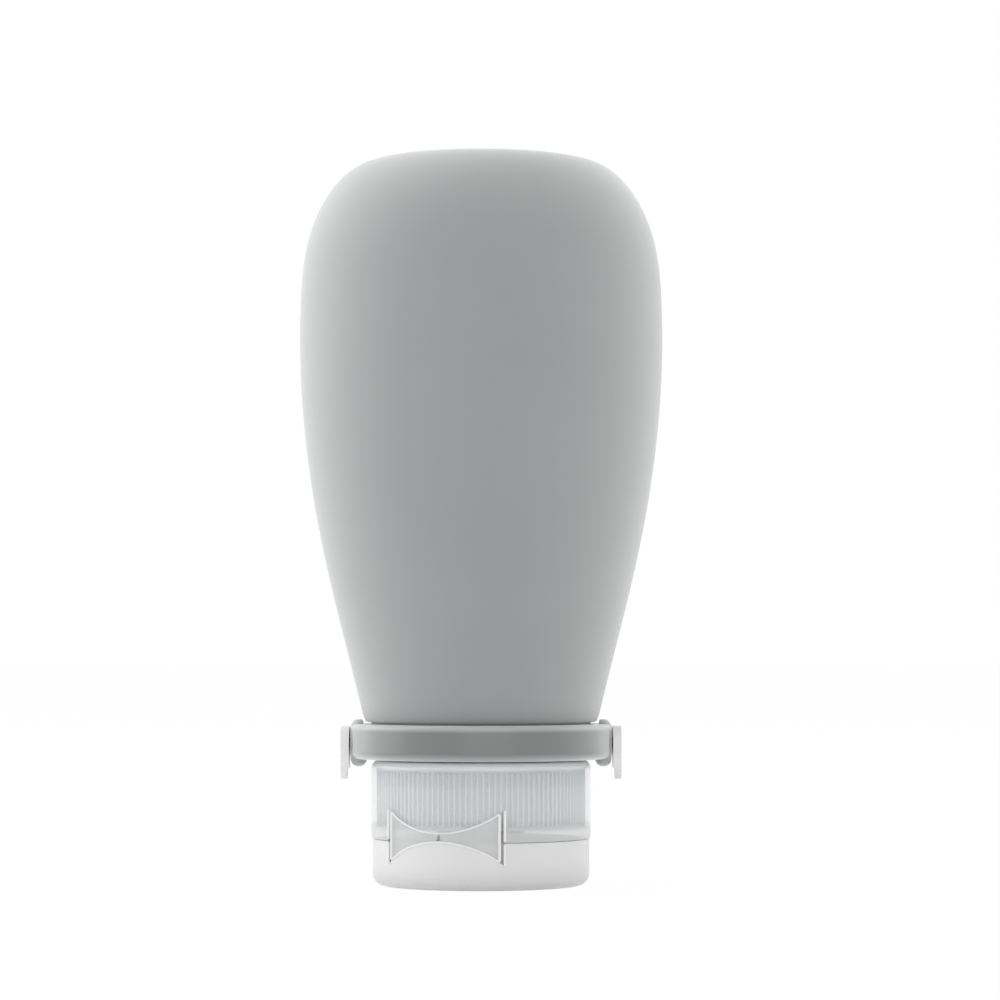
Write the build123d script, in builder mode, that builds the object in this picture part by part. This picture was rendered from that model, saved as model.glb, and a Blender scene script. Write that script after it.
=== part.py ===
from build123d import *
import os
from math import cos, radians, sin, sqrt

# Travel squeeze bottle that stands upside down on its flip-top cap, in millimetres.
# The origin is the centre of the lid's standing face, +Z runs up to the bottle's base,
# +X is to the right and -Y is the front. Heights are measured from the standing face.

os.makedirs("parts", exist_ok=True)

# Flip lid
lid_setback = 0.2
lid_height = 6.4
lid_wall = 1.1
lid_floor = 1.3
lid_corner = 1.65
lid_inner_round = 0.8
plug_clearance = 0.2
plug_wall = 0.7
plug_entry = 1.2
plug_round = 0.3
lip_radius = 6.0
lip_proud = 0.9
lip_height = 1.1
lip_drop = 0.25

# Closure shell, which stands on the lid's rim
rim_gap = 0.1
shell_radius = 15.05
shell_wall = 0.72
shell_height = 10.6
shell_lip = 0.42
shell_lip_height = 0.75
shell_round = 1.0
deck_thickness = 1.5
spout_bore_radius = 3.0
spout_wall = 1.6
spout_length = 2.3
spout_chamfer = 0.4
seat_depth = 0.8
guide_clearance = 0.25
guide_wall = 0.8
guide_depth = 0.95
guide_chamfer = 0.2

# Butterfly hinge let into the shell's wall and the lid's wall
hinge_azimuth = -22.0
hinge_rise = 0.62
wing_length = 7.85
wing_waist = 1.0
wing_end_height = 6.2
wing_thickness = 0.5
wing_inset = 0.1
wing_part_gap = 0.06
wing_part_relief = 0.3
film_gap = 0.15
end_slit = 0.6

# Screw cap inside the shell
knurl_fit = 0.03
knurl_depth = 0.3
knurl_width = 0.42
knurl_crest = 0.2
knurl_count = 114
cap_end = 1.3
cap_end_gap = 0.05
cap_hole_radius = 4.6
cap_lead_in = 0.4
cap_wall = 1.2
thread_depth = 0.85
thread_clearance = 0.2

# Drip valve and gasket
valve_radius = 6.0
valve_fit = 0.1
valve_neck = 0.6
dome_rise = 1.7
valve_wall = 0.55
slit_length = 3.4
slit_width = 0.15
gasket_thickness = 0.8
gasket_fit = 0.3

# Neck insert, threaded below and pushed into the bottle's cuff above
neck_wall = 1.45
neck_chamfer = 0.5
flange_thickness = 1.2
flange_fit = 0.1
spigot_wall = 1.2
spigot_length = 5.2
barb_height = 0.4
barb_count = 2
barb_pitch = 2.0

# Collar ring with its two pivot discs and pins
ring_gap = 0.2
ring_step = 2.75
ring_wall = 2.7
ring_height = 4.75
ring_top_round = 0.6
ring_bottom_round = 1.0
disc_radius = 3.25
disc_thickness = 2.2
disc_proud = 0.1
disc_round = 1.0
pivot_drop = 0.2
pin_radius = 0.7
pin_fit = 0.05

# Hanging loop, folded back behind the collar ring
loop_gap = 0.2
loop_thickness = 1.15
loop_height = 4.0
loop_reach = 24.6
loop_corner = 8.4
loop_round = 0.35
boss_radius = 2.3
heel_length = 4.95
heel_width = 3.6
heel_step = 0.28
heel_step_drop = 3.4

# Silicone body
body_gap = 0.3
body_radius = 24.9
body_length = 77.2
body_wall = 2.4
mouth_setback = 1.8
mouth_round = 0.5
cuff_wall = 1.7
cuff_fit = 0.05

# Outline of the body from its mouth to its base, as shares of its radius and length
flank_radius_share, flank_height_share = 0.88, 0.315
belly_height_share = 0.758
shoulder_radius_share, shoulder_height_share = 0.968, 0.848
corner_radius_share, corner_height_share = 0.842, 0.944
edge_radius_share = 0.56
mouth_slope_share = 0.235

# Length that every cut runs past the face that it opens
overrun = 1.0

# Levels up the axis
shell_bottom = lid_height + rim_gap
deck_top = shell_bottom + deck_thickness
shell_top = shell_bottom + shell_height
hinge_height = shell_bottom + hinge_rise
cap_bottom = deck_top
cap_top = shell_top - shell_lip_height - cap_end_gap
gasket_bottom = cap_bottom + cap_end
neck_mouth = gasket_bottom + gasket_thickness
ring_bottom = shell_top + ring_gap
ring_top = ring_bottom + ring_height
pivot_height = ring_bottom + ring_height / 2 - pivot_drop
flange_top = ring_bottom + flange_thickness
spigot_top = flange_top + spigot_length
body_bottom = ring_top + body_gap
body_top = body_bottom + body_length

# Radii that follow from the shell's
lid_radius = shell_radius - lid_setback
lid_bore_radius = lid_radius - lid_wall
plug_radius = spout_bore_radius - plug_clearance
plug_top = shell_bottom - spout_length + plug_entry
shell_bore_radius = shell_radius - shell_wall
wing_outer_radius = shell_radius - wing_inset
wing_inner_radius = wing_outer_radius - wing_thickness
knurl_radius = shell_bore_radius - knurl_fit
cap_radius = knurl_radius - knurl_depth
cap_bore_radius = cap_radius - cap_wall
neck_radius = cap_bore_radius - thread_clearance - thread_depth
neck_bore_radius = neck_radius - neck_wall
ring_radius = shell_radius + ring_step
ring_bore_radius = ring_radius - ring_wall
flange_radius = ring_bore_radius - flange_fit
cuff_radius = ring_bore_radius - cuff_fit
cuff_bore_radius = cuff_radius - cuff_wall
spigot_radius = cuff_bore_radius - cuff_fit - barb_height
mouth_radius = ring_radius - mouth_setback
disc_outer = ring_radius + disc_proud
loop_inner = disc_outer + loop_gap
loop_outer = loop_inner + loop_thickness

# Plane through the axis that faces the hinge, x along the wall and y up
hinge_out = (sin(radians(hinge_azimuth)), -cos(radians(hinge_azimuth)), 0)
hinge_along = (cos(radians(hinge_azimuth)), sin(radians(hinge_azimuth)), 0)
hinge_plane = Plane(origin=(0, 0, hinge_height), x_dir=hinge_along, z_dir=hinge_out)

# Radius of the curved film lines that bound the butterfly above and below
wing_sag = (wing_end_height - wing_waist) / 2
film_radius = (wing_length**2 + wing_sag**2) / (2 * wing_sag)


def film_line_height(along, grow):
    """Height of the upper film line over the hinge's centre, a distance along the wall."""
    return wing_waist / 2 + film_radius - sqrt((film_radius - grow) ** 2 - along**2)


def export(piece, name):
    """Label a finished piece and write it as its own file."""
    piece.part.label = name
    export_step(piece.part, "parts/" + name + ".step")


# Space that the butterfly and its film lines take out of both walls
cut_length = wing_length + end_slit
cut_height = film_line_height(cut_length, film_gap)
cut_waist = wing_waist / 2 + film_gap
with BuildPart() as hinge_cutter:
    with BuildSketch(hinge_plane):
        with BuildLine():
            ThreePointArc((-cut_length, cut_height), (0, cut_waist), (cut_length, cut_height))
            Line((cut_length, cut_height), (cut_length, -cut_height))
            ThreePointArc((cut_length, -cut_height), (0, -cut_waist), (-cut_length, -cut_height))
            Line((-cut_length, -cut_height), (-cut_length, cut_height))
        make_face()
    extrude(amount=shell_radius + overrun)
    Cylinder(
        wing_inner_radius - film_gap,
        shell_top,
        align=(Align.CENTER, Align.CENTER, Align.MIN),
        mode=Mode.SUBTRACT,
    )

# Flip lid with its plug and, opposite the hinge, its thumb lip
lip_plane = Plane(
    origin=(0, 0, lid_height - lip_drop - lip_height),
    x_dir=hinge_out,
    z_dir=(0, 0, 1),
)
with BuildPart() as flip_lid:
    with BuildSketch():
        Circle(lid_radius)
    extrude(amount=lid_height)
    fillet(flip_lid.edges().group_by(Axis.Z)[0], lid_corner)
    with BuildSketch(lip_plane):
        with Locations((lip_radius - lid_radius - lip_proud, 0)):
            Circle(lip_radius)
    extrude(amount=lip_height)
    with BuildSketch(Plane.XZ):
        with BuildLine():
            Polyline(
                (0, lid_floor),
                (plug_radius - plug_wall, lid_floor),
                (plug_radius - plug_wall, plug_top),
                (plug_radius - plug_round, plug_top),
                (plug_radius, plug_top - plug_round),
                (plug_radius, lid_floor),
                (lid_bore_radius - lid_inner_round, lid_floor),
            )
            RadiusArc(
                (lid_bore_radius - lid_inner_round, lid_floor),
                (lid_bore_radius, lid_floor + lid_inner_round),
                -lid_inner_round,
            )
            Polyline(
                (lid_bore_radius, lid_floor + lid_inner_round),
                (lid_bore_radius, lid_height + overrun),
                (0, lid_height + overrun),
                (0, lid_floor),
            )
        make_face()
    revolve(axis=Axis.Z, mode=Mode.SUBTRACT)
    add(hinge_cutter.part, mode=Mode.SUBTRACT)
export(flip_lid, "flip_lid")

# Closure shell: smooth outer wall, deck, spout, seat for the valve and guide rim for the lid
spout_bottom = shell_bottom - spout_length
spout_radius = spout_bore_radius + spout_wall
seat_radius = valve_radius + valve_fit
seat_floor = deck_top - seat_depth
guide_radius = lid_bore_radius - guide_clearance
guide_bottom = shell_bottom - guide_depth
with BuildPart() as closure_shell:
    with BuildSketch(Plane.XZ):
        with BuildLine():
            Polyline(
                (spout_bore_radius, seat_floor),
                (spout_bore_radius, spout_bottom + spout_chamfer),
                (spout_bore_radius + spout_chamfer, spout_bottom),
                (spout_radius - spout_chamfer, spout_bottom),
                (spout_radius, spout_bottom + spout_chamfer),
                (spout_radius, shell_bottom),
                (guide_radius - guide_wall, shell_bottom),
                (guide_radius - guide_wall, guide_bottom),
                (guide_radius - guide_chamfer, guide_bottom),
                (guide_radius, guide_bottom + guide_chamfer),
                (guide_radius, shell_bottom),
                (shell_radius, shell_bottom),
                (shell_radius, shell_top - shell_round),
            )
            RadiusArc(
                (shell_radius, shell_top - shell_round),
                (shell_radius - shell_round, shell_top),
                -shell_round,
            )
            Polyline(
                (shell_radius - shell_round, shell_top),
                (shell_bore_radius - shell_lip, shell_top),
                (shell_bore_radius - shell_lip, shell_top - shell_lip_height),
                (shell_bore_radius, shell_top - shell_lip_height),
                (shell_bore_radius, deck_top),
                (seat_radius, deck_top),
                (seat_radius, seat_floor),
                (spout_bore_radius, seat_floor),
            )
        make_face()
    revolve(axis=Axis.Z)
    add(hinge_cutter.part, mode=Mode.SUBTRACT)
export(closure_shell, "closure_shell")

# Two wings of the butterfly, each turning on its own upper film line
for side, wing_name in ((1, "hinge_wing_right"), (-1, "hinge_wing_left")):
    inner_top = side * wing_part_gap
    inner_bottom = side * (wing_part_gap + wing_part_relief)
    outer_end = side * wing_length
    mid = side * wing_length / 2
    with BuildPart() as hinge_wing:
        with BuildSketch(hinge_plane):
            with BuildLine():
                ThreePointArc(
                    (inner_top, film_line_height(inner_top, 0)),
                    (mid, film_line_height(mid, 0)),
                    (outer_end, film_line_height(outer_end, 0)),
                )
                Line(
                    (outer_end, film_line_height(outer_end, 0)),
                    (outer_end, -film_line_height(outer_end, 0)),
                )
                ThreePointArc(
                    (outer_end, -film_line_height(outer_end, 0)),
                    (mid, -film_line_height(mid, 0)),
                    (inner_bottom, -film_line_height(inner_bottom, 0)),
                )
                Line(
                    (inner_bottom, -film_line_height(inner_bottom, 0)),
                    (inner_top, film_line_height(inner_top, 0)),
                )
            make_face()
        extrude(amount=shell_radius)
        Cylinder(
            wing_outer_radius,
            shell_top,
            align=(Align.CENTER, Align.CENTER, Align.MIN),
            mode=Mode.INTERSECT,
        )
        Cylinder(
            wing_inner_radius,
            shell_top,
            align=(Align.CENTER, Align.CENTER, Align.MIN),
            mode=Mode.SUBTRACT,
        )
    export(hinge_wing, wing_name)

# Screw cap, knurled where it is pressed into the shell
with BuildPart() as screw_cap:
    with BuildSketch(Plane.XY.offset(cap_bottom)):
        Circle(cap_radius)
    extrude(amount=cap_top - cap_bottom)
    with BuildSketch(Plane.XY.offset(cap_bottom)):
        with PolarLocations(cap_radius, knurl_count):
            Polygon(
                (-knurl_depth, -knurl_width / 2),
                (0, -knurl_width / 2),
                (knurl_depth, -knurl_crest / 2),
                (knurl_depth, knurl_crest / 2),
                (0, knurl_width / 2),
                (-knurl_depth, knurl_width / 2),
                align=None,
            )
    extrude(amount=cap_top - cap_bottom)
    with BuildSketch(Plane.XY.offset(cap_bottom + cap_end)):
        Circle(cap_bore_radius)
    extrude(amount=cap_top - cap_bottom, mode=Mode.SUBTRACT)
    with BuildSketch(Plane.XY.offset(cap_bottom - overrun)):
        Circle(cap_hole_radius)
    extrude(amount=cap_end + 2 * overrun, mode=Mode.SUBTRACT)
    mouth_edge = (
        screw_cap.edges()
        .filter_by(GeomType.CIRCLE)
        .group_by(Axis.Z)[-1]
        .sort_by(SortBy.RADIUS)[0]
    )
    chamfer(mouth_edge, cap_lead_in)
export(screw_cap, "screw_cap")

# Slit drip valve, its flange clamped between the shell's deck and the screw cap
dome_radius = spout_bore_radius + valve_neck
dome_top = deck_top + dome_rise
with BuildPart() as drip_valve:
    with BuildSketch(Plane.XZ):
        with BuildLine():
            Polyline(
                (dome_radius - valve_wall, seat_floor),
                (valve_radius, seat_floor),
                (valve_radius, deck_top),
                (dome_radius, deck_top),
            )
            TangentArc((0, dome_top), (dome_radius, deck_top), tangent=(1, 0))
            Line((0, dome_top), (0, dome_top - valve_wall))
            TangentArc(
                (0, dome_top - valve_wall),
                (dome_radius - valve_wall, deck_top),
                tangent=(1, 0),
            )
            Line((dome_radius - valve_wall, deck_top), (dome_radius - valve_wall, seat_floor))
        make_face()
    revolve(axis=Axis.Z)
    with BuildSketch(Plane.XY.offset(deck_top)):
        Rectangle(slit_length, slit_width)
        Rectangle(slit_width, slit_length)
    extrude(amount=dome_rise + overrun, mode=Mode.SUBTRACT)
export(drip_valve, "drip_valve")

# Gasket between the screw cap's end and the neck's mouth
with BuildPart() as cap_gasket:
    with BuildSketch(Plane.XY.offset(gasket_bottom)):
        Circle(cap_bore_radius - gasket_fit)
        Circle(neck_bore_radius, mode=Mode.SUBTRACT)
    extrude(amount=gasket_thickness)
export(cap_gasket, "cap_gasket")

# Neck insert: threaded neck, flange and barbed spigot
with BuildPart() as neck_insert:
    with BuildSketch(Plane.XZ):
        with BuildLine():
            Polyline(
                (neck_bore_radius, flange_top),
                (neck_bore_radius, neck_mouth),
                (neck_radius - neck_chamfer, neck_mouth),
                (neck_radius, neck_mouth + neck_chamfer),
                (neck_radius, ring_bottom),
                (flange_radius, ring_bottom),
                (flange_radius, flange_top),
                (spigot_radius, flange_top),
                (spigot_radius, spigot_top),
                (spigot_radius - spigot_wall, spigot_top),
                (spigot_radius - spigot_wall, flange_top + spigot_wall),
                close=True,
            )
        make_face()
        for barb in range(barb_count):
            barb_bottom = flange_top + flange_thickness + barb * barb_pitch
            with BuildLine():
                Polyline(
                    (spigot_radius - barb_height, barb_bottom),
                    (spigot_radius + barb_height, barb_bottom),
                    (spigot_radius, barb_bottom + barb_pitch / 2),
                    (spigot_radius - barb_height, barb_bottom + barb_pitch / 2),
                    close=True,
                )
            make_face()
    revolve(axis=Axis.Z)
export(neck_insert, "neck_insert")

# Collar ring with a pivot disc and a pin on each side
with BuildPart() as collar_ring:
    with BuildSketch(Plane.XY.offset(ring_bottom)):
        Circle(ring_radius)
    extrude(amount=ring_height)
    fillet(collar_ring.edges().group_by(Axis.Z)[0], ring_bottom_round)
    fillet(collar_ring.edges().group_by(Axis.Z)[-1], ring_top_round)
    with BuildSketch(Plane.XZ) as disc_profile:
        with BuildLine():
            Polyline(
                (disc_outer - disc_thickness, pivot_height),
                (disc_outer - disc_thickness, pivot_height + disc_radius),
                (disc_outer, pivot_height + disc_radius),
                (disc_outer, pivot_height),
                close=True,
            )
        make_face()
        fillet(disc_profile.vertices().group_by(Axis.Z)[-1], disc_round)
    revolve(axis=Axis((0, 0, pivot_height), (1, 0, 0)))
    mirror(about=Plane.YZ)
    with BuildSketch(Plane.XY.offset(ring_bottom - disc_radius)):
        Circle(ring_bore_radius)
    extrude(amount=ring_height + 2 * disc_radius, mode=Mode.SUBTRACT)
    with BuildSketch(Plane.XY.offset(ring_top)):
        Circle(mouth_radius + body_gap)
    extrude(amount=disc_radius, mode=Mode.SUBTRACT)
    with BuildSketch(Plane.YZ.offset(disc_outer - disc_thickness / 2)):
        with Locations((0, pivot_height)):
            Circle(pin_radius)
    extrude(amount=loop_outer - disc_outer + disc_thickness / 2)
    with BuildSketch(Plane.YZ.offset(disc_thickness / 2 - disc_outer)):
        with Locations((0, pivot_height)):
            Circle(pin_radius)
    extrude(amount=disc_outer - disc_thickness / 2 - loop_outer)
export(collar_ring, "collar_ring")

# Hanging loop: strap, end plates with their heels, and pin holes
with BuildPart() as hanging_loop:
    with BuildSketch(Plane.XY.offset(pivot_height - loop_height / 2)) as strap_outline:
        with Locations((0, (loop_reach + loop_thickness) / 2)):
            Rectangle(2 * loop_outer, loop_reach + loop_thickness)
        fillet(strap_outline.vertices().group_by(Axis.Y)[-1], loop_corner + loop_thickness)
    extrude(amount=loop_height)
    with BuildSketch(Plane.XY.offset(pivot_height - loop_height)) as strap_opening:
        with Locations((0, (loop_reach - overrun) / 2)):
            Rectangle(2 * loop_inner, loop_reach + overrun)
        fillet(strap_opening.vertices().group_by(Axis.Y)[-1], loop_corner)
    extrude(amount=2 * loop_height, mode=Mode.SUBTRACT)
    fillet(hanging_loop.edges().group_by(Axis.Z)[0], loop_round)
    fillet(hanging_loop.edges().group_by(Axis.Z)[-1], loop_round)
    with BuildSketch(Plane.YZ.offset(loop_inner)):
        with Locations((0, pivot_height)):
            Circle(boss_radius)
        with Locations((0, pivot_height - (heel_length - heel_width / 2) / 2)):
            Rectangle(heel_width, heel_length - heel_width / 2)
        with Locations((0, pivot_height - heel_length + heel_width / 2)):
            Circle(heel_width / 2)
    extrude(amount=loop_thickness)
    with BuildSketch(Plane.YZ.offset(loop_inner - overrun)):
        with Locations((0, pivot_height - heel_step_drop - heel_length / 2)):
            Rectangle(2 * heel_width, heel_length)
    extrude(amount=overrun + heel_step, mode=Mode.SUBTRACT)
    with BuildSketch(Plane.YZ.offset(loop_inner - overrun)):
        with Locations((0, pivot_height)):
            Circle(pin_radius + pin_fit)
    extrude(amount=loop_thickness + 2 * overrun, mode=Mode.SUBTRACT)
    split(bisect_by=Plane.YZ, keep=Keep.TOP)
    mirror(about=Plane.YZ)
export(hanging_loop, "hanging_loop")


def body_outline(radius, top, mouth):
    """Half outline from the mouth at the body's bottom up to the base, closed on the axis."""
    length = top - body_bottom
    Spline(
        (mouth, body_bottom),
        (flank_radius_share * radius, body_bottom + flank_height_share * length),
        (radius, body_bottom + belly_height_share * length),
        (shoulder_radius_share * radius, body_bottom + shoulder_height_share * length),
        (corner_radius_share * radius, body_bottom + corner_height_share * length),
        (edge_radius_share * radius, top),
        tangents=[(mouth_slope_share, 1), (-1, 0)],
    )
    Polyline(
        (edge_radius_share * radius, top),
        (0, top),
        (0, body_bottom),
        (mouth, body_bottom),
    )


# Silicone body: squeeze wall, flat base, and the cuff that the ring clamps on the insert
with BuildPart() as bottle_body:
    with BuildSketch(Plane.XZ):
        with BuildLine():
            body_outline(body_radius, body_top, mouth_radius)
        make_face()
    revolve(axis=Axis.Z)
    fillet(bottle_body.edges().group_by(Axis.Z)[0], mouth_round)
    with BuildSketch(Plane.XY.offset(flange_top)):
        Circle(cuff_radius)
    extrude(amount=body_bottom - flange_top)
    with BuildSketch(Plane.XZ):
        with BuildLine():
            body_outline(body_radius - body_wall, body_top - body_wall, mouth_radius - body_wall)
        make_face()
        with BuildLine():
            Polyline(
                (0, body_bottom),
                (mouth_radius, body_bottom),
                (mouth_radius, spigot_top),
                (0, spigot_top),
                close=True,
            )
        make_face(mode=Mode.SUBTRACT)
        with BuildLine():
            Polyline(
                (0, flange_top - overrun),
                (cuff_bore_radius, flange_top - overrun),
                (cuff_bore_radius, spigot_top),
                (0, spigot_top),
                close=True,
            )
        make_face()
    revolve(axis=Axis.Z, mode=Mode.SUBTRACT)
export(bottle_body, "bottle_body")
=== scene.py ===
from math import cos, pi, radians, sin, sqrt

import bpy
from bpy.props import FloatProperty, FloatVectorProperty, IntProperty, PointerProperty
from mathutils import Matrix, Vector


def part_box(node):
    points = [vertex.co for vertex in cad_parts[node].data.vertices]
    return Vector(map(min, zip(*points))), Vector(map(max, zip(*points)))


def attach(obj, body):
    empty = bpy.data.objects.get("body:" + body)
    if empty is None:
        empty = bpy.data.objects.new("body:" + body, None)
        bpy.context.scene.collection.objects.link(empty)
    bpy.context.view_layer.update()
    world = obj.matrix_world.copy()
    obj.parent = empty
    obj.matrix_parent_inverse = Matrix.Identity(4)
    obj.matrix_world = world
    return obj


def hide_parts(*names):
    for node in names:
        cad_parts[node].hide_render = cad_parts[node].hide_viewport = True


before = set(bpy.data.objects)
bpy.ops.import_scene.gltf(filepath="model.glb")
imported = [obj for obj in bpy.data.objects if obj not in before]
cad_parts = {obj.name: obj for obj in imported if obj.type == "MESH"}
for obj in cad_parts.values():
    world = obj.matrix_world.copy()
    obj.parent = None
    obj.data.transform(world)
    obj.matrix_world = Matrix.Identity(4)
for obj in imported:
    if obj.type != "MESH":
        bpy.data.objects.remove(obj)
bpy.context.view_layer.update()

bl_info = {
    "name": "Travel Squeeze Bottle",
    "version": (1, 0, 0),
    "blender": (4, 5, 0),
    "location": "View3D > Sidebar > Travel Bottle",
    "description": "Dresses the upside-down silicone squeeze bottle with its frosted flip-top cap",
    "category": "Object",
}

# The body's outline over its mouth: share of its radius and share of its length
OUTLINE_SHARES = ((0.88, 0.315), (1.0, 0.758), (0.968, 0.848), (0.842, 0.944), (0.56, 1.0))
# How far the outline leans out at the mouth, and how strongly it leaves either end
MOUTH_LEAN_SHARE = 0.235
MOUTH_PULL_SHARE = 1.05
EDGE_PULL_SHARE = 1.15
# How often the slopes between the ends are evened out
SLOPE_ROUNDS = 60
# Steps of each length of the outline, on the outside and in the lining
SKIN_STEPS = 22
LINING_STEPS = 12
# Where rings divide the flat base, as shares of its radius
FLAT_SHARES = (0.66, 0.33)

# Largest angle, in degrees, that is shaded as smooth
BODY_SMOOTH = 30
SMALL_SMOOTH = 40
WELT_SMOOTH = 50
# Steps of a rounded edge and of the valve's dome
ROUND_STEPS = 4
DOME_STEPS = 10

# Steps in one turn of the thread, and the share of its length in which it runs out
THREAD_STEPS = 96
RUN_OUT_SHARE = 0.07
# Depth of the screw cap's knurls, and the painted shade in their grooves
KNURL_DEPTH = 0.0003
PAINTED_GROOVE_SHADE = 0.8
# Steps along a film line and along a slit's edge
FILM_STEPS = 14
EDGE_STEPS = 3

# Side, place and size of each soft lamp
LAMPS = (
    ("left", (-0.74, 0.15, 0.12), 0.9),
    ("right", (0.71, 0.24, 0.12), 0.9),
    ("top", (-0.15, 0.12, 0.8), 0.6),
    ("front", (0.1, -0.95, 0.04), 0.8),
)
# The floor is this wide and lies this far under the standing face
FLOOR_SIZE = 60.0
FLOOR_DROP = 0.00005
# Width of the camera's sensor, in millimetres
SENSOR_WIDTH = 36.0


class TRAVELBOTTLE_PG_body(bpy.types.PropertyGroup):
    """Sizes of the silicone body."""

    radius: FloatProperty(
        name="Radius", description="Largest radius of the body's outline",
        default=0.0249, unit="LENGTH", precision=5)
    length: FloatProperty(
        name="Length", description="Length of the body from its mouth to its base",
        default=0.0772, unit="LENGTH", precision=5)
    wall: FloatProperty(
        name="Wall", description="Thickness of the silicone",
        default=0.0024, unit="LENGTH", precision=5)
    bottom: FloatProperty(
        name="Mouth Height", description="Height of the body's mouth over the standing face",
        default=0.02235, unit="LENGTH", precision=5)
    mouth_radius: FloatProperty(
        name="Mouth Radius", description="Outer radius where the body meets the collar ring",
        default=0.016, unit="LENGTH", precision=5)
    mouth_round: FloatProperty(
        name="Mouth Round", description="Round on the edge over the collar ring",
        default=0.0005, unit="LENGTH", precision=5)
    cuff_radius: FloatProperty(
        name="Cuff Radius", description="Outer radius of the cuff that the ring clamps",
        default=0.01505, unit="LENGTH", precision=5)
    cuff_bore: FloatProperty(
        name="Cuff Bore", description="Radius inside the cuff",
        default=0.01335, unit="LENGTH", precision=5)
    around: IntProperty(
        name="Steps Around", description="Steps of each spin round the axis",
        default=160, min=24, max=360)


class TRAVELBOTTLE_PG_seals(bpy.types.PropertyGroup):
    """Sizes of the soft drip valve and the gasket."""

    neck_radius: FloatProperty(
        name="Valve Neck", description="Radius of the valve under its dome",
        default=0.0036, unit="LENGTH", precision=5)
    wall: FloatProperty(
        name="Valve Wall", description="Thickness of the valve's dome",
        default=0.00055, unit="LENGTH", precision=5)
    flange_thickness: FloatProperty(
        name="Valve Flange", description="Thickness of the flange that the screw cap clamps",
        default=0.0008, unit="LENGTH", precision=5)
    soft_round: FloatProperty(
        name="Soft Round", description="Round on the edges of valve and gasket",
        default=0.0002, unit="LENGTH", precision=5)
    slit_length: FloatProperty(
        name="Slit Length", description="Length of each of the two crossed slits",
        default=0.0034, unit="LENGTH", precision=5)
    slit_width: FloatProperty(
        name="Slit Width", description="Width of the slits at rest",
        default=0.00015, unit="LENGTH", precision=5)


class TRAVELBOTTLE_PG_thread(bpy.types.PropertyGroup):
    """Sizes of the screw thread between neck and cap."""

    lead: FloatProperty(
        name="Lead", description="Rise of the thread in one turn",
        default=0.003, unit="LENGTH", precision=5)
    turns: FloatProperty(
        name="Turns", description="Turns of each thread",
        default=1.35, min=0.25, max=3)
    root_width: FloatProperty(
        name="Root Width", description="Height of the ridge at its root",
        default=0.0013, unit="LENGTH", precision=5)
    crest_width: FloatProperty(
        name="Crest Width", description="Height of the ridge at its crest",
        default=0.0006, unit="LENGTH", precision=5)
    depth: FloatProperty(
        name="Depth", description="How far the ridge stands out",
        default=0.00085, unit="LENGTH", precision=5)
    sink: FloatProperty(
        name="Sink", description="How far the ridge's root goes into its wall",
        default=0.00015, unit="LENGTH", precision=5)
    neck_radius: FloatProperty(
        name="Neck Radius", description="Radius of the neck under its thread",
        default=0.01175, unit="LENGTH", precision=5)
    bore_radius: FloatProperty(
        name="Cap Bore", description="Radius of the screw cap's bore",
        default=0.0128, unit="LENGTH", precision=5)
    start_height: FloatProperty(
        name="Start Height", description="Height at which the neck's thread starts",
        default=0.0112, unit="LENGTH", precision=5)
    start_offset: FloatProperty(
        name="Start Offset", description="How much lower the cap's thread starts",
        default=0.0013, unit="LENGTH", precision=5)


class TRAVELBOTTLE_PG_hinge(bpy.types.PropertyGroup):
    """Sizes of the butterfly hinge's film lines and slits."""

    azimuth: FloatProperty(
        name="Azimuth", description="Where the hinge sits round the cap, from the front",
        default=radians(-22.0), subtype="ANGLE")
    centre_height: FloatProperty(
        name="Centre Height", description="Height of the hinge's centre",
        default=0.00712, unit="LENGTH", precision=5)
    wing_length: FloatProperty(
        name="Wing Length", description="Length of each wing from the hinge's centre",
        default=0.00785, unit="LENGTH", precision=5)
    waist: FloatProperty(
        name="Waist", description="Height of the butterfly at its centre",
        default=0.001, unit="LENGTH", precision=5)
    end_height: FloatProperty(
        name="End Height", description="Height of the butterfly at its ends",
        default=0.0062, unit="LENGTH", precision=5)
    half_gap: FloatProperty(
        name="Film Offset", description="From a wing's edge to the middle of its film line",
        default=0.000075, unit="LENGTH", precision=6)
    film_circle: FloatProperty(
        name="Film Circle", description="Distance of the film lines from the bottle's axis",
        default=0.01488, unit="LENGTH", precision=5)
    film_radius: FloatProperty(
        name="Film Welt", description="Radius of the rounded welt along a film line",
        default=0.00013, unit="LENGTH", precision=6)
    edge_radius: FloatProperty(
        name="Slit Edge", description="Radius of the rounded edges along the end slits",
        default=0.0002, unit="LENGTH", precision=6)
    slit_width: FloatProperty(
        name="End Slit", description="Width of the slit at the end of a wing",
        default=0.0006, unit="LENGTH", precision=5)
    rim_clearance: FloatProperty(
        name="Rim Clearance", description="From the parting line to where the slit's edges end",
        default=0.00015, unit="LENGTH", precision=5)


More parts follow.
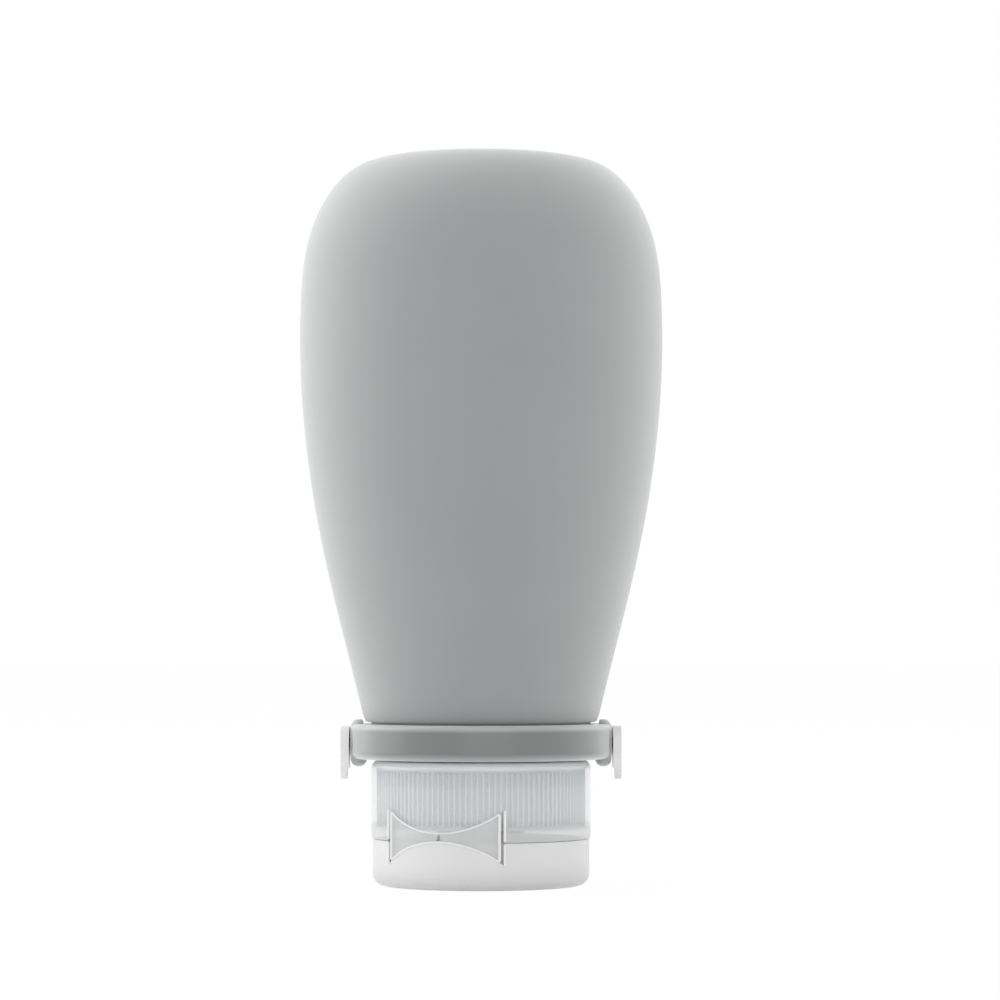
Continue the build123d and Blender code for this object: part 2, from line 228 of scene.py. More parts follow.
class TRAVELBOTTLE_PG_finish(bpy.types.PropertyGroup):
    """Colours of the moulded materials."""

    silicone: FloatVectorProperty(
        name="Silicone", description="Colour of the matt silicone body",
        subtype="COLOR", size=3, min=0, max=1, default=(0.243, 0.25, 0.253))
    collar: FloatVectorProperty(
        name="Collar", description="Colour of the collar ring's satin plastic",
        subtype="COLOR", size=3, min=0, max=1, default=(0.148, 0.153, 0.153))
    frosted: FloatVectorProperty(
        name="Frosted", description="Colour of the frosted closure plastic",
        subtype="COLOR", size=3, min=0, max=1, default=(0.77, 0.776, 0.782))
    cap: FloatVectorProperty(
        name="Inner Cap", description="Colour of the knurled inner cap",
        subtype="COLOR", size=3, min=0, max=1, default=(0.93, 0.945, 0.96))
    lid: FloatVectorProperty(
        name="Lid", description="Colour of the flip lid's milkier plastic",
        subtype="COLOR", size=3, min=0, max=1, default=(0.765, 0.765, 0.765))
    neck: FloatVectorProperty(
        name="Neck", description="Colour of the translucent neck insert",
        subtype="COLOR", size=3, min=0, max=1, default=(0.6, 0.64, 0.68))
    loop: FloatVectorProperty(
        name="Loop", description="Colour of the white hanging loop",
        subtype="COLOR", size=3, min=0, max=1, default=(0.78, 0.78, 0.78))
    film: FloatVectorProperty(
        name="Film Hinge", description="Colour of the bright film lines and slit edges",
        subtype="COLOR", size=3, min=0, max=1, default=(0.82, 0.82, 0.82))
    seal: FloatVectorProperty(
        name="Seals", description="Colour of the clear silicone valve and gasket",
        subtype="COLOR", size=3, min=0, max=1, default=(0.74, 0.76, 0.78))


class TRAVELBOTTLE_PG_stage(bpy.types.PropertyGroup):
    """Sizes and levels of the studio round the bottle."""

    camera_distance: FloatProperty(
        name="Camera Distance", description="Distance of the camera from the bottle's axis",
        default=0.48, unit="LENGTH", precision=4)
    camera_height: FloatProperty(
        name="Camera Height", description="Height of the camera over the floor",
        default=0.031, unit="LENGTH", precision=4)
    view_width: FloatProperty(
        name="View Width", description="Width of the picture in the plane of the axis",
        default=0.138, unit="LENGTH", precision=4)
    view_centre: FloatProperty(
        name="View Centre", description="Height of the picture's centre in the plane of the axis",
        default=0.05289, unit="LENGTH", precision=5)
    view_side: FloatProperty(
        name="View Side", description="How far the picture's centre lies to the right of the axis",
        default=0.0026, unit="LENGTH", precision=5)
    left_power: FloatProperty(
        name="Left Softbox", description="Power of the softbox on the left",
        default=3.9, unit="POWER")
    right_power: FloatProperty(
        name="Right Softbox", description="Power of the softbox on the right",
        default=1.95, unit="POWER")
    top_power: FloatProperty(
        name="Top Softbox", description="Power of the softbox overhead",
        default=2.3, unit="POWER")
    front_power: FloatProperty(
        name="Front Softbox", description="Power of the low softbox behind the camera",
        default=2.2, unit="POWER")
    room_level: FloatProperty(
        name="Room Level", description="Strength of the even light from all round",
        default=0.82, min=0, max=2)
    backdrop_level: FloatProperty(
        name="Backdrop Level", description="Strength of the white that the camera sees behind",
        default=1.0, min=0, max=2)
    floor_share: FloatProperty(
        name="Floor White", description="How much of the floor is seen as plain white",
        default=0.97, min=0, max=1)


def start_piece():
    """Nothing is selected or in edit mode before a new piece is begun."""
    if bpy.context.mode != "OBJECT":
        bpy.ops.object.mode_set(mode="OBJECT")
    bpy.ops.object.select_all(action="DESELECT")


def settle(obj, smooth_angle):
    """The piece's place goes into its mesh, with faces outwards and creases kept."""
    bpy.context.view_layer.objects.active = obj
    obj.select_set(True)
    bpy.ops.object.transform_apply(location=True, rotation=True, scale=True)
    bpy.ops.object.mode_set(mode="EDIT")
    bpy.ops.mesh.select_all(action="SELECT")
    bpy.ops.mesh.remove_doubles(threshold=1e-6)
    bpy.ops.mesh.normals_make_consistent(inside=False)
    bpy.ops.object.mode_set(mode="OBJECT")
    bpy.ops.object.shade_smooth_by_angle(angle=radians(smooth_angle))
    obj.select_set(False)


def take_finish(obj, material, body):
    """One finish on the piece, and the body that it rides on."""
    obj.data.materials.clear()
    obj.data.materials.append(material)
    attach(obj, body)


def grey(level):
    """The same level in red, green and blue."""
    return (level,) * 3


def heights(node):
    """Lowest and highest level of a packed piece."""
    low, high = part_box(node)
    return low[2], high[2]


def blank_material(name):
    """A new node material and its shader."""
    material = bpy.data.materials.new(name)
    material.use_nodes = True
    return material, material.node_tree.nodes["Principled BSDF"]


def add_node(material, kind, place, **values):
    """A node at a place in the tree, its inputs set by name."""
    made = material.node_tree.nodes.new(kind)
    made.location = place
    for name, value in values.items():
        made.inputs[name.replace("_", " ")].default_value = value
    return made


def wire(material, out_socket, in_socket):
    material.node_tree.links.new(out_socket, in_socket)


def mottle(material, shader, colour, scale, spread):
    """Base colour that drifts a little over the piece, as in a moulded part."""
    place = add_node(material, "ShaderNodeTexCoord", (-1500, 300))
    cloud = add_node(material, "ShaderNodeTexNoise", (-1250, 300),
                     Scale=scale, Detail=3.0, Roughness=0.55)
    wire(material, place.outputs["Object"], cloud.inputs["Vector"])
    ramp = add_node(material, "ShaderNodeValToRGB", (-1000, 300))
    low = [max(0.0, c * (1 - spread)) for c in colour]
    high = [min(1.0, c * (1 + spread)) for c in colour]
    for knot, position, tone in zip(ramp.color_ramp.elements, (0.3, 0.7), (low, high)):
        knot.position = position
        knot.color = (*tone, 1)
    wire(material, cloud.outputs["Fac"], ramp.inputs["Fac"])
    wire(material, ramp.outputs["Color"], shader.inputs["Base Color"])
    return place


def grain(material, shader, place, scale, height, rough_low, rough_high):
    """Fine moulded grain: a bump and a roughness that follow the same noise."""
    speck = add_node(material, "ShaderNodeTexNoise", (-1250, -150),
                     Scale=scale, Detail=2.0, Roughness=0.6)
    wire(material, place.outputs["Object"], speck.inputs["Vector"])
    rough = add_node(material, "ShaderNodeMapRange", (-1000, -150))
    rough.inputs["To Min"].default_value = rough_low
    rough.inputs["To Max"].default_value = rough_high
    wire(material, speck.outputs["Fac"], rough.inputs["Value"])
    wire(material, rough.outputs["Result"], shader.inputs["Roughness"])
    bump = add_node(material, "ShaderNodeBump", (-300, -350), Strength=0.25, Distance=height)
    wire(material, speck.outputs["Fac"], bump.inputs["Height"])
    wire(material, bump.outputs["Normal"], shader.inputs["Normal"])


def up_the_axis(material, place, low, high, stops, row=650):
    """Tones over the height from low to high, each stop being a height and its tone."""
    split = add_node(material, "ShaderNodeSeparateXYZ", (-1250, row))
    wire(material, place.outputs["Object"], split.inputs["Vector"])
    run = add_node(material, "ShaderNodeMapRange", (-1000, row))
    run.inputs["From Min"].default_value = low
    run.inputs["From Max"].default_value = high
    wire(material, split.outputs["Z"], run.inputs["Value"])
    ramp = add_node(material, "ShaderNodeValToRGB", (-750, row))
    knots = ramp.color_ramp.elements
    while len(knots) < len(stops):
        knots.new(0.5)
    for knot, (height, tone) in zip(knots, stops):
        knot.position = (height - low) / (high - low)
        knot.color = (*tone, 1)
    wire(material, run.outputs["Result"], ramp.inputs["Fac"])
    return ramp.outputs["Color"]


def tint(material, shader, tones, column=-700):
    """The base colour as it is so far, multiplied by other tones."""
    mix = add_node(material, "ShaderNodeVectorMath", (column, 300))
    mix.operation = "MULTIPLY"
    wire(material, shader.inputs["Base Color"].links[0].from_socket, mix.inputs[0])
    wire(material, tones, mix.inputs[1])
    wire(material, mix.outputs["Vector"], shader.inputs["Base Color"])


def dusty(shader, ior, weight, roughness):
    """The dry sheen that makes the edges of a turned wall paler."""
    shader.inputs["IOR"].default_value = ior
    shader.inputs["Sheen Weight"].default_value = weight
    shader.inputs["Sheen Roughness"].default_value = roughness


def matt_silicone(colour):
    """Grey silicone, dry and matt."""
    material, shader = blank_material("matt_silicone")
    place = mottle(material, shader, colour, scale=55, spread=0.02)
    grain(material, shader, place, scale=2600, height=0.00002, rough_low=0.5, rough_high=0.64)
    dusty(shader, ior=1.41, weight=0.72, roughness=0.62)
    return material


def satin_collar(colour):
    """Satin plastic, with a painted highlight on its upper edge and painted light on its lower
    edge.
    """
    material, shader = blank_material("satin_collar_plastic")
    place = mottle(material, shader, colour, scale=70, spread=0.02)
    grain(material, shader, place, scale=3200, height=0.000008, rough_low=0.2, rough_high=0.27)
    dusty(shader, ior=1.56, weight=0.75, roughness=0.5)
    # Painted light on the ring's lower edge, plain colour between, and a painted highlight on its
    # upper rim
    painted_bottom_light, plain, rim = grey(2.0), grey(1.0), grey(2.3)
    stops = ((0.0176, painted_bottom_light), (0.0183, plain), (0.0211, plain), (0.0217, rim))
    tint(material, shader, up_the_axis(material, place, *heights("collar_ring"), stops))
    return material


def frosted_plastic(name, colour, cover, rough):
    """Natural polypropylene: milky, and what lies behind shows as far as cover lets it."""
    material, shader = blank_material(name)
    place = mottle(material, shader, colour, scale=90, spread=0.012)
    grain(material, shader, place, scale=2400, height=0.00001,
          rough_low=rough * 0.85, rough_high=rough * 1.15)
    shader.inputs["IOR"].default_value = 1.49
    shader.inputs["Alpha"].default_value = cover
    return material, shader, place


def shell_plastic(colour):
    """Thin clear wall, milky where the deck and guide rim are seen edge on and at its lip, with a
    painted highlight on the lip's top edge.
    """
    material, shader, place = frosted_plastic(
        "frosted_shell_plastic", colour, cover=1.0, rough=0.22)
    low, high = heights("closure_shell")
    edge, clear, lip = grey(0.62), grey(0.26), grey(0.88)
    stops = ((0.0076, edge), (0.0088, clear), (high - 0.0014, clear), (high - 0.0007, lip))
    wire(material, up_the_axis(material, place, low, high, stops), shader.inputs["Alpha"])
    # A painted highlight makes the lip's top edge paler, against the shade under the ring
    wall, top = grey(1.0), grey(1.24)
    stops = ((low, wall), (high - 0.0011, wall), (high - 0.0003, top))
    tint(material, shader, up_the_axis(material, place, low, high, stops, row=950))
    return material


def lid_plastic(colour):
    """Milkier plastic, with painted shade near its floor and painted light at its bottom edge."""
    material, shader, place = frosted_plastic(
        "frosted_lid_plastic", colour, cover=0.86, rough=0.3)
    # Painted light at the bottom edge, painted shade over the height of the lid's floor, plain
    # wall above
    edge, floor, wall = grey(1.22), grey(0.91), grey(1.0)
    stops = ((0.0, edge), (0.0006, floor), (0.0014, floor), (0.0034, wall))
    tint(material, shader, up_the_axis(material, place, *heights("flip_lid"), stops))
    return material


def knurled_plastic(colour):
    """Milky cap with painted shade in its grooves, at its closed end and round the neck's flange.
    """
    material, shader, place = frosted_plastic(
        "frosted_cap_plastic", colour, cover=0.8, rough=0.3)
    # Painted shade at the closed end, and a cool painted shade round the neck's flange under the
    # ring
    end, plain, neck = grey(0.9), grey(1.0), (0.88, 0.9, 0.92)
    stops = ((0.0091, end), (0.0095, plain), (0.0134, plain), (0.0142, neck))
    tint(material, shader, up_the_axis(material, place, *heights("screw_cap"), stops))
    # Painted shade in the knurls' grooves, deeper the further in from the crest
    flat = add_node(material, "ShaderNodeVectorMath", (-1250, 950))
    flat.operation = "MULTIPLY"
    flat.inputs[1].default_value = (1, 1, 0)
    wire(material, place.outputs["Object"], flat.inputs[0])
    reach = add_node(material, "ShaderNodeVectorMath", (-1050, 950))
    reach.operation = "LENGTH"
    wire(material, flat.outputs["Vector"], reach.inputs[0])
    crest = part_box("screw_cap")[1][0]
    depth = add_node(material, "ShaderNodeMapRange", (-850, 950))
    depth.inputs["From Min"].default_value = crest - KNURL_DEPTH
    depth.inputs["From Max"].default_value = crest
    depth.inputs["To Min"].default_value = PAINTED_GROOVE_SHADE
    wire(material, reach.outputs["Value"], depth.inputs["Value"])
    tint(material, shader, depth.outputs["Result"], column=-500)
    return material


def make_materials():
    """Every finish of the bottle by its key."""
    colours = bpy.context.scene.travelbottle_finish
    made = {
        "silicone": matt_silicone(colours.silicone),
        "collar": satin_collar(colours.collar),
        "shell": shell_plastic(colours.frosted),
        "cap": knurled_plastic(colours.cap),
        "lid": lid_plastic(colours.lid),
    }
    evenly_frosted = (
        ("wing", "clear_hinge_plastic", colours.frosted, 0.45, 0.18),
        ("neck", "frosted_neck_plastic", colours.neck, 0.8, 0.35),
        ("loop", "white_loop_plastic", colours.loop, 0.97, 0.35),
        ("seal", "clear_seal_silicone", colours.seal, 0.6, 0.3),
        ("film", "film_hinge_plastic", colours.film, 0.95, 0.2),
    )
    for key, name, colour, cover, rough in evenly_frosted:
        made[key] = frosted_plastic(name, colour, cover, rough)[0]
    return made


FINISHES = {}


def finish_named(key):
    """A finish by its key, the whole set being made at the first call."""
    if not FINISHES:
        FINISHES.update(make_materials())
    return FINISHES[key]


class TRAVELBOTTLE_OT_moulded_parts(bpy.types.Operator):
    """Give the rigid parts of the packed model their moulded finishes"""

    bl_idname = "travelbottle.moulded_parts"
    bl_label = "Finish Moulded Parts"

    def execute(self, context):
        parts = {
            "collar_ring": "collar",
            "neck_insert": "neck",
            "hanging_loop": "loop",
            "closure_shell": "shell",
            "hinge_wing_right": "wing",
            "hinge_wing_left": "wing",
            "screw_cap": "cap",
            "flip_lid": "lid",
        }
        for node, key in parts.items():
            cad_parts[node].data.materials[0] = finish_named(key)
        return {"FINISHED"}


def draw_section(name, path, closed):
    """A new piece that is only the line through a path in the plane y = 0."""
    start_piece()
    bpy.ops.mesh.primitive_plane_add()
    piece = bpy.context.object
    piece.name = name
    count = len(path)
    edges = [(i, (i + 1) % count) for i in range(count if closed else count - 1)]
    piece.data.clear_geometry()
    piece.data.from_pydata([(x, 0, z) for x, z in path], edges, [])
    return piece


def spin_profile(name, path, steps, closed=False):
    """A half section in the plane y = 0 spun once round the axis."""
    piece = draw_section(name, path, closed)
    bpy.ops.object.mode_set(mode="EDIT")
    bpy.ops.mesh.select_all(action="SELECT")
    bpy.ops.mesh.spin(steps=steps, angle=2 * pi, center=(0, 0, 0), axis=(0, 0, 1))
    bpy.ops.object.mode_set(mode="OBJECT")
    return piece


def arc(centre, radius, start, end):
    """Points on an arc in the plane y = 0, its angles in degrees from +X."""
    sweep = end - start
    turns = [radians(start + sweep * i / ROUND_STEPS) for i in range(ROUND_STEPS + 1)]
    return [(centre[0] + radius * cos(t), centre[1] + radius * sin(t)) for t in turns]


def outline_knots(sizes, inset):
    """Knots and slopes of the body's outline, a wall's thickness further in where inset says."""
    radius, mouth = sizes.radius - inset, sizes.mouth_radius - inset
    length = sizes.length - inset
    knots = [Vector((mouth, sizes.bottom))]
    knots += [Vector((r * radius, sizes.bottom + h * length)) for r, h in OUTLINE_SHARES]
    gaps = [(b - a).length for a, b in zip(knots, knots[1:])]
    slopes = [Vector((0, 0)) for _ in knots]
    slopes[0] = Vector((MOUTH_LEAN_SHARE, 1)).normalized() * MOUTH_PULL_SHARE
    slopes[-1] = Vector((-1, 0)) * EDGE_PULL_SHARE
    for _ in range(SLOPE_ROUNDS):
        for i in range(1, len(knots) - 1):
            before, after = gaps[i - 1], gaps[i]
            arriving = (knots[i] - knots[i - 1]) * after / before
            leaving = (knots[i + 1] - knots[i]) * before / after
            steer = 3 * (arriving + leaving)
            steer = steer - after * slopes[i - 1] - before * slopes[i + 1]
            slopes[i] = steer / (2 * (before + after))
    return knots, gaps, slopes


def outline_points(sizes, inset, steps):
    """The smooth outline from the mouth to the base's edge, as points of a Bezier curve."""
    knots, gaps, slopes = outline_knots(sizes, inset)
    start_piece()
    bpy.ops.curve.primitive_bezier_curve_add()
    curve = bpy.context.object
    curve.data.resolution_u = steps
    points = curve.data.splines[0].bezier_points
    points.add(len(knots) - len(points))
    for i, point in enumerate(points):
        before = slopes[i] * gaps[max(i - 1, 0)] / 3
        after = slopes[i] * gaps[min(i, len(gaps) - 1)] / 3
        point.handle_left_type = point.handle_right_type = "FREE"
        point.co = (knots[i].x, 0, knots[i].y)
        point.handle_left = (knots[i].x - before.x, 0, knots[i].y - before.y)
        point.handle_right = (knots[i].x + after.x, 0, knots[i].y + after.y)
    bpy.ops.object.convert(target="MESH")
    line = bpy.context.object
    found = [(v.co.x, v.co.z) for v in line.data.vertices]
    bpy.data.objects.remove(line)
    return found


class TRAVELBOTTLE_OT_squeeze_body(bpy.types.Operator):
    """Spin the silicone body: squeeze wall, flat base and clamped cuff, in one closed skin"""

    bl_idname = "travelbottle.squeeze_body"
    bl_label = "Add Squeeze Body"

    def execute(self, context):
        sizes = context.scene.travelbottle_body
        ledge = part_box("neck_insert")[1][2]
        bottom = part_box("bottle_body")[0][2]
        skin = outline_points(sizes, 0, SKIN_STEPS)
        lining = [p for p in outline_points(sizes, sizes.wall, LINING_STEPS) if p[1] > ledge]
        mouth, lift = skin[0], sizes.mouth_round
        corner = arc((mouth[0] - lift, mouth[1] + lift), lift, -90, -10)
        above = [p for p in skin if p[1] > mouth[1] + lift * 1.1]
        cuff = [
            (lining[0][0], ledge),
            (sizes.cuff_bore, ledge),
            (sizes.cuff_bore, bottom),
            (sizes.cuff_radius, bottom),
            (sizes.cuff_radius, mouth[1]),
        ]
        shares = (*FLAT_SHARES, 0)
        base = [(skin[-1][0] * share, skin[-1][1]) for share in shares]
        floor = [(lining[-1][0] * share, lining[-1][1]) for share in reversed(shares)]
        path = floor + lining[::-1] + cuff + corner + above + base
        body = spin_profile("silicone_body", path, sizes.around)
        settle(body, BODY_SMOOTH)
        take_finish(body, finish_named("silicone"), "bottle")
        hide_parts("bottle_body")
        return {"FINISHED"}


def cut_slit(dome, sizes, turn, height):
    """One straight slit through the valve's dome."""
    start_piece()
    bpy.ops.mesh.primitive_cube_add(
        size=1, location=(0, 0, height), rotation=(0, 0, turn),
        scale=(sizes.slit_length, sizes.slit_width, sizes.neck_radius))
    blade = bpy.context.object
    cut = dome.modifiers.new("slit", "BOOLEAN")
    cut.object = blade
    cut.operation = "DIFFERENCE"
    cut.solver = "EXACT"
    start_piece()
    bpy.context.view_layer.objects.active = dome
    dome.select_set(True)
    bpy.ops.object.modifier_apply(modifier=cut.name)
    bpy.data.objects.remove(blade)


class TRAVELBOTTLE_OT_soft_seals(bpy.types.Operator):
    """Add the soft drip valve with its crossed slits, and the gasket under the neck"""

    bl_idname = "travelbottle.soft_seals"
    bl_label = "Add Soft Seals"

    def execute(self, context):
        sizes = context.scene.travelbottle_seals
        around = context.scene.travelbottle_body.around // 2
        self.spin_valve(sizes, around)
        self.spin_gasket(sizes, around)
        return {"FINISHED"}

    def spin_valve(self, sizes, around):
        low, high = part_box("drip_valve")
        deck, edge, soft = low[2] + sizes.flange_thickness, high[0], sizes.soft_round
        outside = self.dome(sizes.neck_radius, deck, high[2])
        inside = self.dome(sizes.neck_radius - sizes.wall, deck, high[2] - sizes.wall)
        path = inside[::-1] + [(sizes.neck_radius - sizes.wall, low[2])]
        path += arc((edge - soft, low[2] + soft), soft, -90, 0)
        path += arc((edge - soft, deck - soft), soft, 0, 90)
        path += outside
        valve = spin_profile("soft_drip_valve", path, around)
        settle(valve, SMALL_SMOOTH)
        for turn in (0, pi / 2):
            cut_slit(valve, sizes, turn, high[2])
        settle(valve, SMALL_SMOOTH)
        take_finish(valve, finish_named("seal"), "cap")
        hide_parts("drip_valve")

    def dome(self, radius, foot, top):
        """Arc from the dome's foot up to the axis, level at its top."""
        rise = top - foot
        bend = (radius**2 + rise**2) / (2 * rise)
        reach = [radius * (1 - i / DOME_STEPS) for i in range(DOME_STEPS + 1)]
        return [(x, top - bend + sqrt(bend**2 - x**2)) for x in reach]

    def spin_gasket(self, sizes, around):
        low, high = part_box("cap_gasket")
        bore = ring_bore(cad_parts["cap_gasket"])
        soft = sizes.soft_round
        path = arc((high[0] - soft, low[2] + soft), soft, -90, 0)
        path += arc((high[0] - soft, high[2] - soft), soft, 0, 90)
        path += arc((bore + soft, high[2] - soft), soft, 90, 180)
        path += arc((bore + soft, low[2] + soft), soft, 180, 270)
        gasket = spin_profile("soft_cap_gasket", path, around, closed=True)
        settle(gasket, SMALL_SMOOTH)
        take_finish(gasket, finish_named("seal"), "gasket")
        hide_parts("cap_gasket")


def ring_bore(node):
    """Smallest distance of a ring's vertices from the axis."""
    return min(Vector((v.co.x, v.co.y)).length for v in node.data.vertices)


def thread_ridge(name, root, tip, start, sizes):
    """One right-hand helical ridge from root radius to tip radius, run out at both ends."""
    sunk = root - sizes.sink if tip > root else root + sizes.sink
    wide, narrow = sizes.root_width / 2, sizes.crest_width / 2
    section = [
        (sunk, start - wide),
        (root, start - wide),
        (tip, start - narrow),
        (tip, start + narrow),
        (root, start + wide),
        (sunk, start + wide),
    ]
    count = len(section)
    ridge = draw_section(name, section, closed=True)
    turn = ridge.modifiers.new("turns", "SCREW")
    turn.angle = 2 * pi * sizes.turns
    turn.screw_offset = sizes.lead * sizes.turns
    turn.steps = turn.render_steps = int(THREAD_STEPS * sizes.turns)
    turn.use_smooth_shade = True
    bpy.ops.object.modifier_apply(modifier=turn.name)
    rows = len(ridge.data.vertices) // count
    for i, vert in enumerate(ridge.data.vertices):
        share = (i // count) / (rows - 1)
        fade = min(1.0, share / RUN_OUT_SHARE, (1 - share) / RUN_OUT_SHARE)
        radius = Vector((vert.co.x, vert.co.y)).length
        stands_out = radius - root
        if stands_out * (tip - root) > 0:
            wanted = root + stands_out * fade
            vert.co.x *= wanted / radius
            vert.co.y *= wanted / radius
    bpy.ops.object.mode_set(mode="EDIT")
    bpy.ops.mesh.select_all(action="SELECT")
    bpy.ops.mesh.fill_holes(sides=count)
    bpy.ops.object.mode_set(mode="OBJECT")
    return ridge


class TRAVELBOTTLE_OT_screw_threads(bpy.types.Operator):
    """Add the right-hand thread on the neck and the one inside the screw cap"""

    bl_idname = "travelbottle.screw_threads"
    bl_label = "Add Screw Threads"

    def execute(self, context):
        sizes = context.scene.travelbottle_thread
        neck = thread_ridge(
            "neck_thread", sizes.neck_radius, sizes.neck_radius + sizes.depth,
            sizes.start_height, sizes)
        settle(neck, SMALL_SMOOTH)
        take_finish(neck, finish_named("neck"), "bottle")
        cap = thread_ridge(
            "cap_thread", sizes.bore_radius, sizes.bore_radius - sizes.depth,
            sizes.start_height - sizes.start_offset, sizes)
        settle(cap, SMALL_SMOOTH)
        take_finish(cap, finish_named("cap"), "cap")
        return {"FINISHED"}


def film_rise(sizes, along):
    """Height of the upper film line over the hinge's centre, a distance along the wall."""
    sag = (sizes.end_height - sizes.waist) / 2
    bend = (sizes.wing_length**2 + sag**2) / (2 * sag)
    return sizes.waist / 2 + bend - sqrt((bend - sizes.half_gap) ** 2 - along**2)


def on_wall(sizes, along, rise):
    """A point of the cap's round wall, a distance along it from the hinge's centre."""
    out = sqrt(sizes.film_circle**2 - along**2)
    side, ahead = cos(sizes.azimuth), sin(sizes.azimuth)
    x, y = along * side + out * ahead, along * ahead - out * side
    return Vector((x, y, sizes.centre_height + rise))


def welt(name, points, radius, body):
    """A fine round welt of hinge plastic through the points."""
    start_piece()
    bpy.ops.curve.primitive_bezier_curve_add()
    curve = bpy.context.object
    curve.name = name
    curve.data.resolution_u = 3
    curve.data.bevel_depth = radius
    curve.data.bevel_resolution = 3
    curve.data.use_fill_caps = True
    knots = curve.data.splines[0].bezier_points
    knots.add(len(points) - len(knots))
    for knot, point in zip(knots, points):
        knot.handle_left_type = knot.handle_right_type = "AUTO"
        knot.co = point
    bpy.ops.object.convert(target="MESH")
    piece = bpy.context.object
    settle(piece, WELT_SMOOTH)
    take_finish(piece, finish_named("film"), body)


class TRAVELBOTTLE_OT_film_hinge(bpy.types.Operator):
    """Add the film lines over and under the wings, and the rounded edges of the end slits"""

    bl_idname = "travelbottle.film_hinge"
    bl_label = "Add Film Hinge"

    def execute(self, context):
        sizes = context.scene.travelbottle_hinge
        shares = [2 * i / FILM_STEPS - 1 for i in range(FILM_STEPS + 1)]
        alongs = [share * sizes.wing_length for share in shares]
        for name, side, body in (("upper_film", 1, "cap"), ("lower_film", -1, "lid")):
            line = [on_wall(sizes, a, side * film_rise(sizes, a)) for a in alongs]
            welt(name, line, sizes.film_radius, body)
        self.round_slit(sizes)
        return {"FINISHED"}

    def round_slit(self, sizes):
        """Welts at a wing's end and across the slit from it, on the shell and on the lid."""
        tip = sizes.wing_length
        half = film_rise(sizes, tip) - sizes.half_gap
        far = tip + sizes.slit_width
        top = film_rise(sizes, far)
        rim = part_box("flip_lid")[1][2]
        shell_foot = rim + 2 * sizes.rim_clearance - sizes.centre_height
        lid_head = rim - sizes.rim_clearance - sizes.centre_height
        for end, side in (("right", 1), ("left", -1)):
            edges = (
                ("wing_edge_", tip, -half, half, "wing_" + end),
                ("shell_slit_edge_", far, shell_foot, top, "cap"),
                ("lid_slit_edge_", far, -top, lid_head, "lid"),
            )
            for name, along, low, high, body in edges:
                rises = [low + (high - low) * i / EDGE_STEPS for i in range(EDGE_STEPS + 1)]
                line = [on_wall(sizes, side * along, rise) for rise in rises]
                welt(name + end, line, sizes.edge_radius, body)


def softbox(name, place, aim, size, power):
    """A large soft area lamp that faces a point."""
    start_piece()
    bpy.ops.object.light_add(type="AREA", location=place)
    lamp = bpy.context.object
    lamp.name = name
    lamp.data.size = size
    lamp.data.energy = power
    lamp.rotation_euler = (Vector(aim) - Vector(place)).to_track_quat("-Z", "Y").to_euler()


def seen_directly(tree):
    """1 where the camera, a reflection or a clear part looks straight at it, and 0 elsewhere."""
    path = tree.nodes.new("ShaderNodeLightPath")
    seen = path.outputs["Is Camera Ray"]
    for kind in ("Is Glossy Ray", "Is Transmission Ray"):
        either = tree.nodes.new("ShaderNodeMath")
        either.operation = "MAXIMUM"
        tree.links.new(seen, either.inputs[0])
        tree.links.new(path.outputs[kind], either.inputs[1])
        seen = either.outputs[0]
    return seen


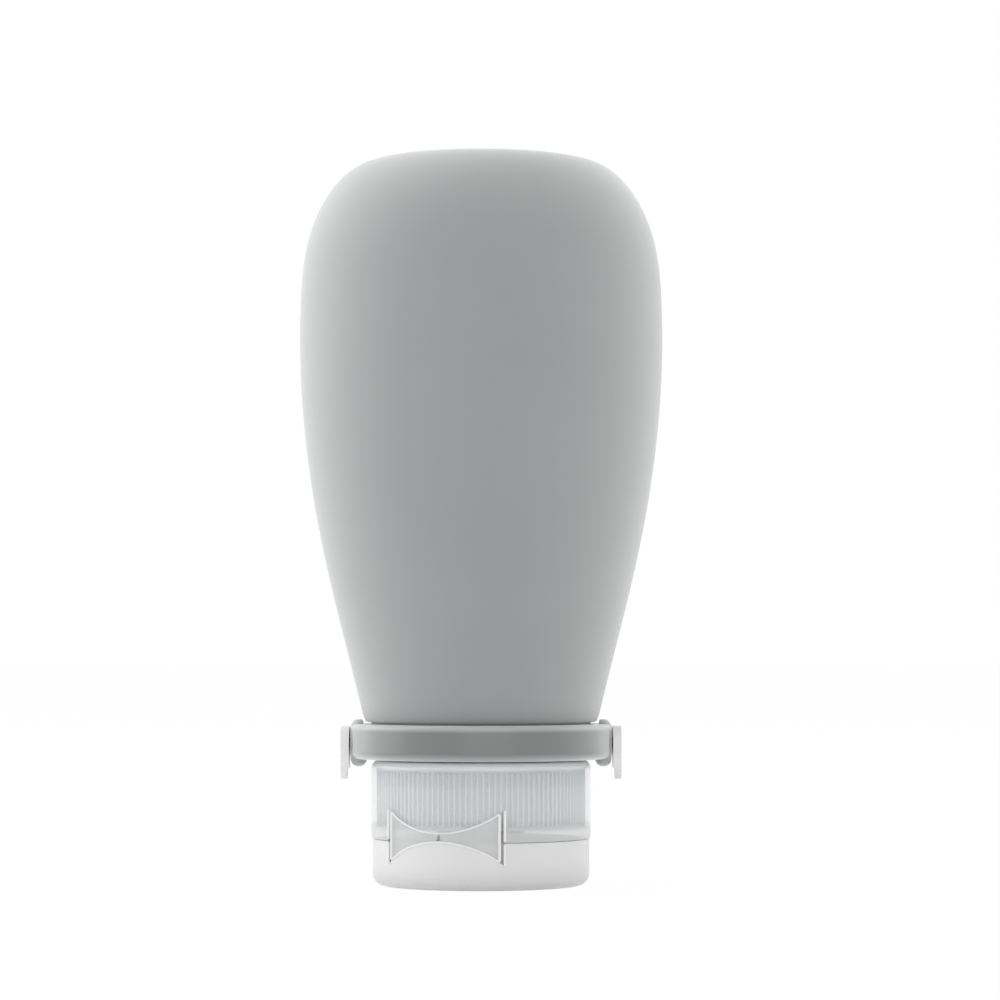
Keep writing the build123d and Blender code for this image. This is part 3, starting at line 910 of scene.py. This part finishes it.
class TRAVELBOTTLE_OT_studio(bpy.types.Operator):
    """Add the white floor, the soft lamps, the even room light and the camera"""

    bl_idname = "travelbottle.studio"
    bl_label = "Add Studio"

    def execute(self, context):
        sizes = context.scene.travelbottle_stage
        self.lay_floor(sizes)
        self.light_room(context, sizes)
        centre = (0, 0, sizes.view_centre)
        for side, place, size in LAMPS:
            softbox(side + "_softbox", place, centre, size, getattr(sizes, side + "_power"))
        self.place_camera(context, sizes)
        context.scene.view_settings.view_transform = "Standard"
        return {"FINISHED"}

    def lay_floor(self, sizes):
        """A pale floor that takes light as it is, but is seen as nearly plain white."""
        start_piece()
        bpy.ops.mesh.primitive_plane_add(size=FLOOR_SIZE, location=(0, 0, -FLOOR_DROP))
        floor = bpy.context.object
        floor.name = "studio_floor"
        material, shader = blank_material("white_floor")
        shader.inputs["Base Color"].default_value = (0.9, 0.9, 0.9, 1)
        shader.inputs["Roughness"].default_value = 0.8
        tree = material.node_tree
        glow = tree.nodes.new("ShaderNodeEmission")
        share = tree.nodes.new("ShaderNodeMath")
        share.operation = "MULTIPLY"
        share.inputs[1].default_value = sizes.floor_share
        blend = tree.nodes.new("ShaderNodeMixShader")
        tree.links.new(seen_directly(tree), share.inputs[0])
        tree.links.new(share.outputs[0], blend.inputs["Fac"])
        tree.links.new(shader.outputs["BSDF"], blend.inputs[1])
        tree.links.new(glow.outputs["Emission"], blend.inputs[2])
        tree.links.new(blend.outputs[0], tree.nodes["Material Output"].inputs["Surface"])
        floor.data.materials.append(material)

    def light_room(self, context, sizes):
        """Even light from all round, before a backdrop that is seen as white."""
        world = bpy.data.worlds.new("white_room")
        context.scene.world = world
        world.use_nodes = True
        tree = world.node_tree
        sky = tree.nodes["Background"]
        level = tree.nodes.new("ShaderNodeMapRange")
        level.inputs["To Min"].default_value = sizes.room_level
        level.inputs["To Max"].default_value = sizes.backdrop_level
        tree.links.new(seen_directly(tree), level.inputs["Value"])
        tree.links.new(level.outputs["Result"], sky.inputs["Strength"])
        sky.inputs["Color"].default_value = (1, 1, 1, 1)

    def place_camera(self, context, sizes):
        place = Vector((sizes.view_side, -sizes.camera_distance, sizes.camera_height))
        target = Vector((sizes.view_side, 0, sizes.view_centre))
        bpy.ops.object.camera_add(location=place)
        camera = context.object
        camera.name = "photo_camera"
        camera.rotation_euler = (target - place).to_track_quat("-Z", "Y").to_euler()
        camera.data.sensor_width = SENSOR_WIDTH
        camera.data.lens = SENSOR_WIDTH * (target - place).length / sizes.view_width
        camera.data.clip_start = 0.01
        camera.data.clip_end = 20.0
        context.scene.camera = camera


class TRAVELBOTTLE_PT_panel(bpy.types.Panel):
    """The bottle's pieces and settings in the sidebar"""

    bl_label = "Travel Bottle"
    bl_idname = "TRAVELBOTTLE_PT_panel"
    bl_space_type = "VIEW_3D"
    bl_region_type = "UI"
    bl_category = "Travel Bottle"

    def draw(self, context):
        for step in STEPS:
            self.layout.operator(step.bl_idname)
        for key, group in SETTINGS.items():
            box = self.layout.box()
            box.label(text=group.__doc__.rstrip("."))
            for name in group.__annotations__:
                box.prop(getattr(context.scene, key), name)


SETTINGS = {
    "travelbottle_body": TRAVELBOTTLE_PG_body,
    "travelbottle_seals": TRAVELBOTTLE_PG_seals,
    "travelbottle_thread": TRAVELBOTTLE_PG_thread,
    "travelbottle_hinge": TRAVELBOTTLE_PG_hinge,
    "travelbottle_finish": TRAVELBOTTLE_PG_finish,
    "travelbottle_stage": TRAVELBOTTLE_PG_stage,
}
STEPS = (
    TRAVELBOTTLE_OT_moulded_parts,
    TRAVELBOTTLE_OT_squeeze_body,
    TRAVELBOTTLE_OT_soft_seals,
    TRAVELBOTTLE_OT_screw_threads,
    TRAVELBOTTLE_OT_film_hinge,
    TRAVELBOTTLE_OT_studio,
)


def register():
    for made in (*SETTINGS.values(), *STEPS, TRAVELBOTTLE_PT_panel):
        bpy.utils.register_class(made)
    for key, group in SETTINGS.items():
        setattr(bpy.types.Scene, key, PointerProperty(type=group))


def unregister():
    for key in SETTINGS:
        delattr(bpy.types.Scene, key)
    for made in (TRAVELBOTTLE_PT_panel, *reversed(STEPS), *reversed(tuple(SETTINGS.values()))):
        bpy.utils.unregister_class(made)


def main():
    register()
    bpy.ops.travelbottle.moulded_parts()
    bpy.ops.travelbottle.squeeze_body()
    bpy.ops.travelbottle.soft_seals()
    bpy.ops.travelbottle.screw_threads()
    bpy.ops.travelbottle.film_hinge()
    bpy.ops.travelbottle.studio()


if __name__ == "__main__":
    main()
